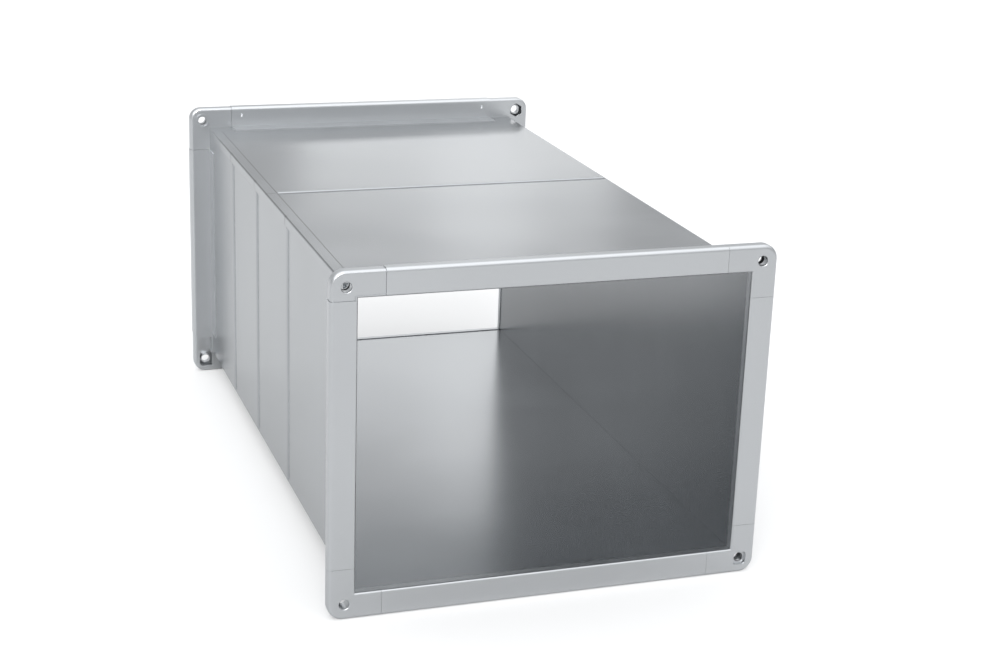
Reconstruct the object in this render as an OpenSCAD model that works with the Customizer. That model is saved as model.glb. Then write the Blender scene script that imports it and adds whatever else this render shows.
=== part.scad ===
// Rectangular air duct section of galvanised sheet steel.
// Two L-shaped sheets are locked together by a folded seam at the top-left and
// bottom-right edges. A slip-on flange of four hollow rails and four stamped
// corner pieces closes each end. X is the width, Y the run of the air, Z is up,
// and the origin is the middle of the footprint on the floor.

/* [Duct] */
// Outside width of the sheet-metal channel
duct_w = 400; // [300:10:600]
// Outside height of the channel
duct_h = 300; // [200:10:450]
// Length between the two mating faces
duct_l = 750; // [660:10:1500]
// Thickness of the galvanised sheet
sheet = 0.8; // [0.6:0.1:1.2]
// Outside radius of the two bent long edges
bend_r = 2; // [1.5:0.5:4]

/* [Seams] */
// Depth of the seam's pocket down the side
seam_depth = 10; // [8:0.5:14]
// Width of the seam's lip where it is hammered over
seam_lip = 10; // [6:0.5:14]
// Gap between the flange's legs and the notched end of a seam
seam_end_gap = 1; // [0.5:0.5:4]

/* [Stiffening beads] */
// Outside radius of a pressed bead
bead_r = 4.5; // [3.5:0.5:7]
// Height of a bead above the sheet
bead_h = 1.5; // [0.8:0.1:2]
// Distance from the front mating face to the first bead on the left side
side_bead_1 = 286; // [100:1:350]
// Distance from the front mating face to the second bead on the left side
side_bead_2 = 444; // [370:1:480]
// Distance from the front mating face to the third bead on the left side
side_bead_3 = 582; // [500:1:600]
// Distance from the front mating face to the bead across the top
top_bead_at = 389; // [100:1:600]

/* [Flange rails] */
// Height of a rail above the sheet
rail_h = 25; // [20:1:40]
// Thickness of the hollow rail, front to back
rail_d = 15; // [12:1:20]
// Thickness of the rail's steel
rail_t = 1; // [0.8:0.1:1.2]
// Radius of the rail's two outer edges
rail_r = 4; // [2:0.5:5]
// Radius of the bend that turns the face into the duct
throat_r = 2.5; // [2.5:0.5:4]
// Length of the lip that lies inside the duct
lip_l = 9; // [6:1:15]
// Length of the leg that runs on along the duct behind the rail
leg_l = 25; // [15:1:40]
// Diameter of the punch marks that hold a rail on its corner pieces
punch_d = 4; // [3:0.5:6]
// Depth of a punch mark
punch_depth = 0.6; // [0.3:0.1:0.6]
// Distance from a rail's end to its punch mark
punch_in = 12; // [8:1:35]

/* [Corner pieces] */
// Plan radius of the flange's outer corners
corner_r = 15; // [8:1:20]
// Length of a corner piece's arm that shows, from the duct's edge
corner_arm = 28; // [15:1:45]
// Gap between a corner piece's arm and the rail's end
joint_gap = 0.2; // [0.1:0.1:0.5]
// Length of the short arm at the front top-left corner
short_arm = 4; // [3:1:20]
// Thickness of the corner piece's steel
corner_t = 1.5; // [1.4:0.1:2]
// Step from the rails down to a corner piece at the back flange
back_step = 0.7; // [0.2:0.1:0.8]
// Step from the rails down to the front top-left corner piece
front_step = 0.8; // [0.2:0.1:0.8]
// Length of the tongue that a corner piece pushes into a rail
tongue_l = 50; // [20:1:80]
// Thickness of the tongue
tongue_t = 2; // [1.5:0.1:3]
// Clearance between the tongue and the rail
tongue_gap = 0.3; // [0.2:0.05:0.5]

/* [Bolt holes] */
// Diameter of the bolt holes
hole_d = 10; // [8.5:0.5:11]
// Distance of a hole from the duct's sides
hole_off = 9; // [8:0.5:11]
// Radius of the hole's rolled mouth
mouth_r = 1.2; // [0.6:0.1:1.4]
// Depth of the drawn collar round a hole
collar_depth = 8; // [6:0.5:10]
// Wall of the drawn collar
collar_t = 1.2; // [1:0.1:2]
// Width across the corners of the hexagonal seat
hex_seat_w = 18; // [16:0.5:20]
// Width of the raised ring round the hole at the back top-left corner
ring_w = 17; // [16:0.5:18]
// Height of that ring
ring_h = 1.5; // [0.5:0.1:2]
// Side of the rounded square recess at the front bottom-right corner
recess_w = 14; // [13:0.5:15]
// Depth of that recess
recess_depth = 3; // [1:0.5:4]
// Length of the pocket in the back of a stamped corner piece
pocket_l = 39; // [30:1:42]
// Width of the pocket's rim along the flange's outer edges
pocket_rim = 7.7; // [6:0.1:8]

/* [Hidden] */
$fn = 48;
half_w = duct_w / 2;
half_h = duct_h / 2;
half_l = duct_l / 2;
mid_z = rail_h + half_h;
// the seam's radii follow the sheet, which is folded hard on itself
seam_r = 2.5 * sheet;
fold_r = 1.5 * sheet;
seam_notch = rail_d + leg_l + seam_end_gap;
lip_u = -(sheet + rail_t);
corner_c = rail_h - corner_r;
bead_in = bead_r - bead_h;
bead_foot = sqrt(bead_r * bead_r - bead_in * bead_in);
hole_r = hole_d / 2;
recess_r = recess_w / 4;
pocket_r = 5;
skin_cut = 1;

SIDE_BEADS = [side_bead_1, side_bead_2, side_bead_3];

// One quarter of a ring, in the quadrant that the two signs name
module quarter_ring(outer, inner, side_x, side_y) {
  intersection() {
    difference() {
      circle(outer);
      circle(inner);
    }
    translate([side_x < 0 ? -outer : 0, side_y < 0 ? -outer : 0]) square(outer);
  }
}

// Section of an L-shaped sheet: left wall, bent edge and floor
module sheet_section() {
  translate([-half_w, -half_h + bend_r]) square([sheet, duct_h - bend_r - sheet]);
  translate([-half_w + bend_r, -half_h]) square([duct_w - bend_r, sheet]);
  translate([-half_w + bend_r, -half_h + bend_r]) quarter_ring(bend_r, bend_r - sheet, -1, -1);
}

// Seam pocket: the wall folded down, up again and hammered over the other sheet
module pocket_section() {
  pocket_h = seam_depth - fold_r;
  translate([-half_w, half_h]) {
    translate([-sheet, -pocket_h]) square([sheet, pocket_h - sheet]);
    translate([-3 * sheet, -pocket_h]) square([sheet, pocket_h + sheet - seam_r]);
    translate([-fold_r, -pocket_h]) {
      quarter_ring(fold_r, sheet / 2, -1, -1);
      quarter_ring(fold_r, sheet / 2, 1, -1);
    }
    translate([seam_r - 3 * sheet, sheet - seam_r]) quarter_ring(seam_r, seam_r - sheet, -1, 1);
    translate([seam_r - 3 * sheet, 0]) square([seam_lip + 3 * sheet - seam_r, sheet]);
  }
}

// The other sheet's edge, bent down into the pocket
module tab_section() {
  tab_h = seam_depth - fold_r;
  translate([-half_w, half_h]) {
    translate([seam_r - 3 * sheet, -sheet]) square([3 * sheet - seam_r, sheet]);
    translate([seam_r - 3 * sheet, sheet - seam_r])
      quarter_ring(seam_r - sheet, seam_r - 2 * sheet, -1, 1);
    translate([-2 * sheet, -tab_h]) square([sheet, tab_h + sheet - seam_r]);
  }
}

module run_along(length) {
  rotate([90, 0, 0]) linear_extrude(length, center = true) children();
}

// One sheet with its pocket at the top-left edge and its tab at the bottom-right edge
module folded_sheet() {
  run_along(duct_l - 2 * throat_r) sheet_section();
  run_along(duct_l - 2 * seam_notch) {
    pocket_section();
    rotate(180) tab_section();
  }
}

// A pressed bead from one end to the other, standing out of the face z = 0
module bead(radius, length, round_start) {
  translate([0, 0, -bead_in]) {
    rotate([0, 90, 0]) cylinder(r = radius, h = length);
    translate([length, 0, 0]) sphere(radius);
    if (round_start) sphere(radius);
  }
}

// Places a bead on the left wall, from the seam's pocket down to the bent edge
module on_left(at) {
  translate([-half_w, at - half_l, half_h - seam_depth]) rotate([0, -90, 0]) rotate([0, 0, 180])
    children();
}

// Places a bead on the top, from the seam's lip to the bent edge
module on_top(at) {
  translate([-half_w + seam_lip + bead_foot, at - half_l, half_h]) children();
}

side_bead_l = duct_h - seam_depth - bend_r - bead_foot;
top_bead_l = duct_w - seam_lip - bead_foot - bend_r - bead_foot;

module left_bottom_sheet() {
  color("silver") translate([0, 0, mid_z]) difference() {
    union() {
      folded_sheet();
      for (at = SIDE_BEADS) intersection() {
        on_left(at) bead(bead_r, side_bead_l, false);
        translate([-half_w - bead_r, -half_l, -half_h]) cube([bead_r + sheet / 2, duct_l, duct_h]);
      }
    }
    for (at = SIDE_BEADS) on_left(at) bead(bead_r - sheet, side_bead_l, false);
  }
}

module top_right_sheet() {
  color("lightgray") translate([0, 0, mid_z]) difference() {
    union() {
      rotate([0, 180, 0]) folded_sheet();
      intersection() {
        on_top(top_bead_at) bead(bead_r, top_bead_l, true);
        translate([-half_w, -half_l, half_h - sheet / 2]) cube([duct_w, duct_l, bead_r]);
      }
    }
    on_top(top_bead_at) bead(bead_r - sheet, top_bead_l, true);
  }
}

// Outline of a hollow rail from u = low to high, with its two outer edges rounded
module box_section(low, high, front, back, radius) {
  translate([low, front]) square([high - radius - low, back - front]);
  translate([high - radius, front + radius]) square([radius, back - front - 2 * radius]);
  translate([high - radius, front + radius]) circle(radius);
  translate([high - radius, back - radius]) circle(radius);
}

// The bend from the face into the duct, which guides the air past the sheet's edge
module throat_section() {
  translate([lip_u + throat_r, throat_r]) quarter_ring(throat_r, throat_r - rail_t, -1, -1);
}

module rail_section() {
  difference() {
    box_section(0, rail_h, 0, rail_d, rail_r);
    box_section(rail_t, rail_h - rail_t, rail_t, rail_d - rail_t, rail_r - rail_t);
  }
  square([rail_t, rail_d + leg_l]);
  throat_section();
  translate([lip_u, throat_r]) square([rail_t, lip_l - throat_r]);
}

// Turns from the right-hand side to the side with this number, round the duct's middle
module at_side(side) {
  rotate([0, -90 * side, 0]) translate([side % 2 == 0 ? half_w : half_h, -half_l, 0]) children();
}

// A rail on one side of the front flange; extra lengthens it past the corner at its upper end
module rail(side, extra) {
  length = (side % 2 == 0 ? duct_h : duct_w) - 2 * (corner_arm + joint_gap);
  dir = side == 2 ? -1 : 1;
  at_side(side) difference() {
    translate([0, 0, -length / 2 - (dir < 0 ? extra : 0)]) linear_extrude(length + extra) rail_section();
    if (side % 2 == 1) for (end = [-1, 1])
      translate([rail_h * 0.6, rail_d + punch_d * punch_d / (8 * punch_depth) - punch_depth / 2,
                 end * (length / 2 - punch_in)])
        sphere(punch_d * punch_d / (8 * punch_depth) + punch_depth / 2);
  }
}

module front_rail(side, extra = 0) {
  color("gainsboro") translate([0, 0, mid_z]) rail(side, extra);
}

module back_rail(side) {
  color("gainsboro") translate([0, 0, mid_z]) mirror([0, 1, 0]) rail(side, 0);
}

// Sweeps a section round the corner: an arm down the side, an arm along the top, a rounded end
module round_corner(arm_top, arm_side) {
  translate([0, 0, -arm_side]) linear_extrude(arm_side + corner_c) children();
  rotate([0, -90, 0]) translate([0, 0, -corner_c]) linear_extrude(arm_top + corner_c) children();
  translate([corner_c, 0, corner_c]) mirror([0, 1, 0]) rotate([90, 0, 0])
    rotate_extrude(angle = 90) translate([-corner_c, 0]) intersection() {
      children();
      translate([corner_c, -skin_cut]) square([corner_r + skin_cut, rail_d + 2 * skin_cut]);
    }
}

// Throat and lip along one arm, as far as the duct's inner edge
module arm_throat(arm) {
  translate([0, 0, -arm]) linear_extrude(arm) throat_section();
  translate([lip_u, throat_r, -arm]) cube([rail_t, lip_l - throat_r, arm - bend_r]);
}

// Tongue that slides into the rail beyond one arm
module tongue(arm) {
  low = rail_t + tongue_gap;
  translate([low, low, -arm - tongue_l])
    cube([rail_h - rail_r - low, tongue_t, tongue_l + arm / 2]);
}

// Stamped corner piece of the top-right corner, from the duct's outside corner outwards
module corner_shell(arm_top, arm_side, step) {
  difference() {
    round_corner(arm_top, arm_side)
      box_section(0, rail_h - step, step, rail_d - step, rail_r - step);
    round_corner(arm_top + skin_cut, arm_side + skin_cut)
      box_section(corner_t, rail_h - step - corner_t, step + corner_t, rail_d - step - corner_t,
                  rail_r - step - corner_t);
  }
  arm_throat(arm_side);
  rotate([0, -90, 0]) mirror([0, 0, 1]) arm_throat(arm_top);
  tongue(arm_side);
  rotate([0, -90, 0]) mirror([0, 0, 1]) tongue(arm_top);
}

module at_hole(depth) {
  translate([hole_off, depth, hole_off]) rotate([-90, 0, 0]) children();
}

// Corner piece with its bolt hole; children(0) is added and children(1) cut away
module corner_piece(arm_top, arm_side, step, depth) {
  difference() {
    union() {
      corner_shell(arm_top, arm_side, step);
      at_hole(step) cylinder(r = hole_r + collar_t, h = depth);
      children(0);
    }
    at_hole(-skin_cut) cylinder(r = hole_r, h = rail_d + ring_h + 2 * skin_cut);
    at_hole(step) rolled_mouth();
    children(1);
  }
}

// What a rolled edge leaves open above the hole: a quarter round turned about its axis
module rolled_mouth() {
  rotate_extrude() difference() {
    translate([0, -skin_cut]) square([hole_r + mouth_r, mouth_r + skin_cut]);
    translate([hole_r + mouth_r, mouth_r]) circle(mouth_r);
  }
}

module no_feature() {
}

// Recess of rounded square outline round the hole
module square_recess() {
  inner = recess_w - 2 * recess_r;
  at_hole(-skin_cut) linear_extrude(recess_depth + skin_cut) {
    square([inner, recess_w], center = true);
    square([recess_w, inner], center = true);
    for (x = [-1, 1], y = [-1, 1]) translate([x * inner / 2, y * inner / 2]) circle(recess_r);
  }
}

// Collar that carries the rounded square recess
module recess_collar() {
  at_hole(0) cylinder(r = recess_w / 2 + collar_t, h = collar_depth);
}

module hex_seat() {
  at_hole(rail_d - back_step - corner_t - skin_cut) rotate(90)
    cylinder(d = hex_seat_w, h = corner_t + 2 * skin_cut, $fn = 6);
}

module raised_ring() {
  at_hole(rail_d - back_step - corner_t) cylinder(d = ring_w, h = corner_t + ring_h);
}

module ring_bore() {
  at_hole(rail_d - back_step) cylinder(d = ring_w - 2 * collar_t, h = ring_h + skin_cut);
}

// Pocket left open in the back of the stamping, with rounded ends
module back_pocket() {
  high = rail_h - pocket_rim;
  low = high - pocket_l;
  translate([corner_t, rail_d - back_step - corner_t - skin_cut, 0]) rotate([90, 0, 0]) mirror([0, 0, 1])
    linear_extrude(corner_t + 2 * skin_cut) {
      translate([0, low + pocket_r]) square([high - corner_t, pocket_l - 2 * pocket_r]);
      translate([0, low]) square([high - corner_t - pocket_r, pocket_l]);
      translate([high - corner_t - pocket_r, low + pocket_r]) circle(pocket_r);
      translate([high - corner_t - pocket_r, high - pocket_r]) circle(pocket_r);
    }
}

// Moves a top-right corner piece to its corner: sign_x, sign_z choose it, back turns it round
module at_corner(sign_x, sign_z, back) {
  color("darkgray") translate([0, 0, mid_z])
    mirror([sign_x < 0 ? 1 : 0, 0, 0]) mirror([0, 0, sign_z < 0 ? 1 : 0]) mirror([0, back ? 1 : 0, 0])
      translate([half_w, -half_l, half_h]) children();
}

module front_top_left_corner() {
  at_corner(-1, 1, false) corner_piece(corner_arm, short_arm, front_step, collar_depth) {
    no_feature();
    no_feature();
  }
}

module front_top_right_corner() {
  at_corner(1, 1, false) corner_piece(corner_arm, corner_arm, 0, collar_depth) {
    no_feature();
    no_feature();
  }
}

module front_bottom_left_corner() {
  at_corner(-1, -1, false) corner_piece(corner_arm, corner_arm, 0, rail_d - corner_t) {
    no_feature();
    no_feature();
  }
}

module front_bottom_right_corner() {
  at_corner(1, -1, false) corner_piece(corner_arm, corner_arm, 0, collar_depth) {
    recess_collar();
    square_recess();
  }
}

module back_top_left_corner() {
  at_corner(-1, 1, true) corner_piece(corner_arm, corner_arm, back_step, collar_depth) {
    raised_ring();
    ring_bore();
  }
}

module back_top_right_corner() {
  at_corner(1, 1, true) corner_piece(corner_arm, corner_arm, back_step, collar_depth) {
    no_feature();
    hex_seat();
  }
}

module back_bottom_left_corner() {
  at_corner(-1, -1, true) corner_piece(corner_arm, corner_arm, back_step, collar_depth) {
    no_feature();
    back_pocket();
  }
}

module back_bottom_right_corner() {
  at_corner(1, -1, true) corner_piece(corner_arm, corner_arm, back_step, collar_depth) {
    no_feature();
    back_pocket();
  }
}

left_bottom_sheet();
top_right_sheet();
front_rail(0);  // front_right_rail
front_rail(1);  // front_top_rail
front_rail(2, corner_arm - short_arm);  // front_left_rail
front_rail(3);  // front_bottom_rail
back_rail(0);  // back_right_rail
back_rail(1);  // back_top_rail
back_rail(2);  // back_left_rail
back_rail(3);  // back_bottom_rail
front_top_left_corner();
front_top_right_corner();
front_bottom_left_corner();
front_bottom_right_corner();
back_top_left_corner();
back_top_right_corner();
back_bottom_left_corner();
back_bottom_right_corner();
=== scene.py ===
import math

import bpy
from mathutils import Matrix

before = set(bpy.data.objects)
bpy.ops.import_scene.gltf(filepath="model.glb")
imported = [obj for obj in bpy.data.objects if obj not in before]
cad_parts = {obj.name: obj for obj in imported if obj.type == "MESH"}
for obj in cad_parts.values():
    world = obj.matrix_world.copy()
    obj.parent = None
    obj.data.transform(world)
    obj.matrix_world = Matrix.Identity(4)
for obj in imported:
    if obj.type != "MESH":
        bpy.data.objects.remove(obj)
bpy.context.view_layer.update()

# Camera: a short telephoto lens, a little above the duct and to the left of its
# mouth, held with a slight roll. Angles and place come from the duct's own edges.
lens_mm = 67.21
camera_data = bpy.data.cameras.new("product_camera")
camera_data.sensor_width = 36.0
camera_data.lens = lens_mm
camera = bpy.data.objects.new("product_camera", camera_data)
camera.location = (-0.6131, -1.9467, 0.8302)
camera.rotation_euler = [math.radians(angle) for angle in (71.698, -1.960, -18.719)]
bpy.context.scene.collection.objects.link(camera)
bpy.context.scene.camera = camera
bpy.context.scene.view_settings.view_transform = "Standard"


# Studio: a pale seamless floor, a soft sky that is dim near the horizon and bright
# overhead, one broad soft key from the front left and three dim windows behind the
# duct, which the top and the inside floor mirror as soft patches.
def new_nodes(tree):
    """Empties a node tree and returns its nodes and a function that links two sockets."""
    tree.nodes.clear()
    return tree.nodes, tree.links.new


world = bpy.data.worlds.new("studio_sky")
world.use_nodes = True
bpy.context.scene.world = world
nodes, link = new_nodes(world.node_tree)
direction = nodes.new("ShaderNodeTexCoord")
parts = nodes.new("ShaderNodeSeparateXYZ")
link(direction.outputs["Generated"], parts.inputs[0])
sky_ramp = nodes.new("ShaderNodeValToRGB")
sky_ramp.color_ramp.interpolation = "EASE"
sky_stops = [(0.0, 0.60), (0.20, 0.56), (0.34, 0.50), (0.62, 1.15), (1.0, 1.60)]
ramp = sky_ramp.color_ramp
while len(ramp.elements) < len(sky_stops):
    ramp.elements.new(0.5)
for stop, (place, level) in zip(ramp.elements, sky_stops):
    stop.position = place
    stop.color = (level * 0.985, level, level * 1.015, 1)
link(parts.outputs["Z"], sky_ramp.inputs["Fac"])
soft_sky = nodes.new("ShaderNodeBackground")
link(sky_ramp.outputs["Color"], soft_sky.inputs["Color"])
white_sky = nodes.new("ShaderNodeBackground")
white_sky.inputs["Color"].default_value = (1, 1, 1, 1)
path = nodes.new("ShaderNodeLightPath")
choice = nodes.new("ShaderNodeMixShader")
link(path.outputs["Is Camera Ray"], choice.inputs["Fac"])
link(soft_sky.outputs[0], choice.inputs[1])
link(white_sky.outputs[0], choice.inputs[2])
world_out = nodes.new("ShaderNodeOutputWorld")
link(choice.outputs[0], world_out.inputs["Surface"])

floor_half = 9.0
floor_mesh = bpy.data.meshes.new("studio_floor")
floor_mesh.from_pydata(
    [(-floor_half, -floor_half, 0), (floor_half, -floor_half, 0),
     (floor_half, floor_half, 0), (-floor_half, floor_half, 0)], [], [(0, 1, 2, 3)])
floor = bpy.data.objects.new("studio_floor", floor_mesh)
bpy.context.scene.collection.objects.link(floor)
pale = bpy.data.materials.new("pale_floor")
pale.use_nodes = True
nodes, link = new_nodes(pale.node_tree)
paint = nodes.new("ShaderNodeBsdfDiffuse")
paint.inputs["Color"].default_value = (0.58, 0.58, 0.58, 1)
lift = nodes.new("ShaderNodeEmission")
path = nodes.new("ShaderNodeLightPath")
seen = nodes.new("ShaderNodeMath")
seen.operation = "MULTIPLY"
seen.inputs[1].default_value = 0.32
link(path.outputs["Is Camera Ray"], seen.inputs[0])
link(seen.outputs[0], lift.inputs["Strength"])
both = nodes.new("ShaderNodeAddShader")
link(paint.outputs[0], both.inputs[0])
link(lift.outputs[0], both.inputs[1])
floor_out = nodes.new("ShaderNodeOutputMaterial")
link(both.outputs[0], floor_out.inputs["Surface"])
floor_mesh.materials.append(pale)

key_data = bpy.data.lights.new("soft_key", "SUN")
key_data.energy = 1.7
key_data.angle = math.radians(38)
key = bpy.data.objects.new("soft_key", key_data)
key.rotation_euler = (math.radians(52), 0, math.radians(-24))
bpy.context.scene.collection.objects.link(key)


def softbox(name, azimuth, elevation, width, height, radiance, distance=3.2):
    """Area lamp seen from the duct in the direction azimuth (from +Y towards +X), elevation;
    width and height are angles in degrees, and the lamp's power gives the radiance asked for."""
    size = [2 * distance * math.tan(math.radians(angle / 2)) for angle in (width, height)]
    data = bpy.data.lights.new(name, "AREA")
    data.shape = "RECTANGLE"
    data.size, data.size_y = size
    data.energy = radiance * math.pi * size[0] * size[1]
    lamp = bpy.data.objects.new(name, data)
    az, el = math.radians(azimuth), math.radians(elevation)
    lamp.location = (distance * math.sin(az) * math.cos(el), distance * math.cos(az) * math.cos(el),
                     0.3 + distance * math.sin(el))
    lamp.rotation_euler = (math.radians(90) - el, 0, math.pi - az)
    bpy.context.scene.collection.objects.link(lamp)


softbox("back_window", 18.0, 12.6, 16, 3.5, 1.5)
softbox("front_window", 19.4, 16.8, 5, 2.5, 0.8)
softbox("mouth_window", 19.4, 21.8, 3, 2.5, 1.0)


# Zinc skin: what all the steel has in common. Faint streaks of the rolling mill run
# round the girth, the coat is slightly cloudy, and thin sheet is never quite flat.
def math_node(nodes, link, operation, first, second):
    """Output of a Math node; each of first and second is a number or a socket."""
    node = nodes.new("ShaderNodeMath")
    node.operation = operation
    for socket, value in zip(node.inputs, (first, second)):
        if isinstance(value, (int, float)):
            socket.default_value = value
        else:
            link(value, socket)
    return node.outputs[0]


def zinc_group():
    """Colour = tint times cloud and streak noise, roughness = plain value plus the same noise,
    height = long soft waves plus fine streaks, both in object coordinates."""
    group = bpy.data.node_groups.new("zinc_skin", "ShaderNodeTree")
    face = group.interface
    face.new_socket("Tint", in_out="INPUT", socket_type="NodeSocketColor")
    for name, value in (("Roughness", 0.3), ("Cloud", 0.06), ("Streak", 0.04), ("Wave", 1.0)):
        face.new_socket(name, in_out="INPUT", socket_type="NodeSocketFloat").default_value = value
    face.new_socket("Colour", in_out="OUTPUT", socket_type="NodeSocketColor")
    face.new_socket("Roughness", in_out="OUTPUT", socket_type="NodeSocketFloat")
    face.new_socket("Height", in_out="OUTPUT", socket_type="NodeSocketFloat")
    nodes, link = new_nodes(group)
    given = nodes.new("NodeGroupInput")
    result = nodes.new("NodeGroupOutput")
    place = nodes.new("ShaderNodeTexCoord")

    def noise(scale, detail, stretch):
        turn = nodes.new("ShaderNodeMapping")
        turn.inputs["Scale"].default_value = stretch
        link(place.outputs["Object"], turn.inputs["Vector"])
        cloud = nodes.new("ShaderNodeTexNoise")
        cloud.inputs["Scale"].default_value = scale
        cloud.inputs["Detail"].default_value = detail
        link(turn.outputs[0], cloud.inputs["Vector"])
        return cloud.outputs["Fac"]

    def maths(operation, first, second):
        return math_node(nodes, link, operation, first, second)

    cloud = maths("SUBTRACT", noise(7.0, 3.0, (1, 1, 1)), 0.5)
    streak = maths("SUBTRACT", noise(14.0, 4.0, (0.25, 14.0, 0.25)), 0.5)
    shade = maths("ADD", maths("MULTIPLY", cloud, given.outputs["Cloud"]),
                  maths("MULTIPLY", streak, given.outputs["Streak"]))
    bright = maths("ADD", shade, 1.0)
    tinted = nodes.new("ShaderNodeVectorMath")
    tinted.operation = "SCALE"
    link(given.outputs["Tint"], tinted.inputs[0])
    link(bright, tinted.inputs["Scale"])
    link(tinted.outputs[0], result.inputs["Colour"])
    rough = maths("ADD", given.outputs["Roughness"], maths("MULTIPLY", shade, 0.3))
    link(rough, result.inputs["Roughness"])
    wave = maths("MULTIPLY", noise(3.2, 1.0, (1, 1, 1)), given.outputs["Wave"])
    fine = maths("MULTIPLY", streak, 0.0008)
    link(maths("ADD", wave, fine), result.inputs["Height"])
    return group


zinc_skin = zinc_group()


def zinc_material(name, tint, roughness, cloud, streak, wave, metallic=1.0):
    """Principled metal whose colour, roughness and bump come from the zinc skin group."""
    material = bpy.data.materials.new(name)
    material.use_nodes = True
    nodes, link = new_nodes(material.node_tree)
    skin = nodes.new("ShaderNodeGroup")
    skin.node_tree = zinc_skin
    skin.inputs["Tint"].default_value = (*tint, 1)
    skin.inputs["Roughness"].default_value = roughness
    skin.inputs["Cloud"].default_value = cloud
    skin.inputs["Streak"].default_value = streak
    skin.inputs["Wave"].default_value = wave
    metal = nodes.new("ShaderNodeBsdfPrincipled")
    metal.inputs["Metallic"].default_value = metallic
    link(skin.outputs["Colour"], metal.inputs["Base Color"])
    link(skin.outputs["Roughness"], metal.inputs["Roughness"])
    bump = nodes.new("ShaderNodeBump")
    bump.inputs["Strength"].default_value = 1.0
    bump.inputs["Distance"].default_value = 0.004
    link(skin.outputs["Height"], bump.inputs["Height"])
    link(bump.outputs[0], metal.inputs["Normal"])
    out = nodes.new("ShaderNodeOutputMaterial")
    link(metal.outputs[0], out.inputs["Surface"])
    return material


def dress(node_names, material):
    """Gives each of these solids the material."""
    for name in node_names:
        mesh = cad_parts[name].data
        mesh.materials.clear()
        mesh.materials.append(material)


# The two L-shaped sheets: 0.8 mm galvanised steel, folded on a brake, with the
# lock seam hammered shut and the stiffening beads rolled in before folding.
# Dark lines are painted into the colour as shade in the seam's folds and at the feet of the beads,
# and the right wall is painted darker as shade.
duct_side, duct_top, front_end = -0.200, 0.325, -0.375
sheet_t = 0.0008
seam_width = 0.010
seam_end = 0.041
bead_foot = 0.0034
# Painted shade: half widths and depth of the dark lines painted along the seam folds, the arris
# crease and the bead feet, and how much darker the right wall is painted.
fold_shade_width, crease_shade_width, side_bead_shade_width = 0.0012, 0.0009, 0.0022
painted_shade_depth, right_wall_painted_shade = 0.68, 0.30
side_beads = [front_end + at for at in (0.286, 0.444, 0.582)]
top_bead = front_end + 0.389


def painted_shade_sheet(name, tint, roughness):
    """Zinc material whose tint is scaled by 1 minus painted shade: the sum of soft dark lines
    1 - |coordinate - place| / half width, each kept to the wall that carries it, and a painted
    darkening of the right wall."""
    material = zinc_material(name, tint, roughness, 0.22, 0.08, 0.6)
    nodes, link = material.node_tree.nodes, material.node_tree.links.new
    skin = next(node for node in nodes if node.type == "GROUP")
    metal = next(node for node in nodes if node.type == "BSDF_PRINCIPLED")
    place = nodes.new("ShaderNodeTexCoord")
    axes = nodes.new("ShaderNodeSeparateXYZ")
    link(place.outputs["Object"], axes.inputs[0])
    x, y, z = axes.outputs

    def maths(operation, first, second):
        return math_node(nodes, link, operation, first, second)

    def line(coordinate, at, half_width):
        away = maths("DIVIDE", maths("ABSOLUTE", maths("SUBTRACT", coordinate, at), 0.0), half_width)
        return maths("MAXIMUM", maths("SUBTRACT", 1.0, away), 0.0)

    def joined(lines):
        total = lines[0]
        for extra in lines[1:]:
            total = maths("ADD", total, extra)
        return total

    on_side = maths("LESS_THAN", x, duct_side + sheet_t / 4)
    on_top = maths("GREATER_THAN", z, duct_top - sheet_t / 4)
    along_seam = maths("LESS_THAN", maths("ABSOLUTE", y, 0.0), -front_end - seam_end)
    bend = maths("ADD", maths("SUBTRACT", x, duct_side - 2 * sheet_t),
                 maths("SUBTRACT", z, duct_top + sheet_t))
    # Painted shade: soft dark lines along the lock seam's fold and arris crease, and at the feet of
    # the beads.
    side_seam = joined([line(z, duct_top - seam_width - sheet_t, fold_shade_width),
                        line(bend, 0.0, crease_shade_width)])
    top_seam = line(x, duct_side + seam_width + sheet_t, fold_shade_width)
    side_feet = [line(y, at + bead_foot, side_bead_shade_width) for at in side_beads]
    side = maths("MULTIPLY", on_side, joined([maths("MULTIPLY", along_seam, side_seam)] + side_feet))
    top = maths("MULTIPLY", on_top, joined([maths("MULTIPLY", along_seam, top_seam),
                                            line(y, top_bead - bead_foot, fold_shade_width)]))
    painted_shade = maths("MULTIPLY", maths("MINIMUM", maths("ADD", side, top), 1.0), painted_shade_depth)
    # Painted shade: the right wall is painted darker than the floor, inside and out.
    on_right_wall = maths("MULTIPLY", maths("LESS_THAN", z, duct_top - sheet_t / 2),
                  maths("GREATER_THAN", x, -duct_side - 1.5 * sheet_t))
    right_wall_shade = maths("MULTIPLY", on_right_wall, right_wall_painted_shade)
    unshaded_share = maths("SUBTRACT", 1.0, maths("ADD", painted_shade, right_wall_shade))
    shaded = nodes.new("ShaderNodeVectorMath")
    shaded.operation = "SCALE"
    link(skin.outputs["Colour"], shaded.inputs[0])
    link(unshaded_share, shaded.inputs["Scale"])
    link(shaded.outputs[0], metal.inputs["Base Color"])
    return material


sheet_zinc = painted_shade_sheet("sheet_zinc", (0.50, 0.515, 0.53), 0.24)
dress(["left_bottom_sheet", "top_right_sheet"], sheet_zinc)

# The flange rails: 1 mm strip, roll-formed to a hollow box, cut to length.
rail_zinc = zinc_material("rail_zinc", (0.62, 0.635, 0.65), 0.33, 0.06, 0.03, 0.15)
ends = ("front", "back")
rail_sides = ("top", "bottom", "left", "right")
dress([end + "_" + side + "_rail" for end in ends for side in rail_sides], rail_zinc)

# The corner pieces: pressed from thicker steel, then galvanised.
corner_zinc = zinc_material("corner_zinc", (0.61, 0.625, 0.64), 0.35, 0.10, 0.02, 0.3)
corner_places = ("top_left", "top_right", "bottom_left", "bottom_right")
dress([end + "_" + place + "_corner" for end in ends for place in corner_places], corner_zinc)
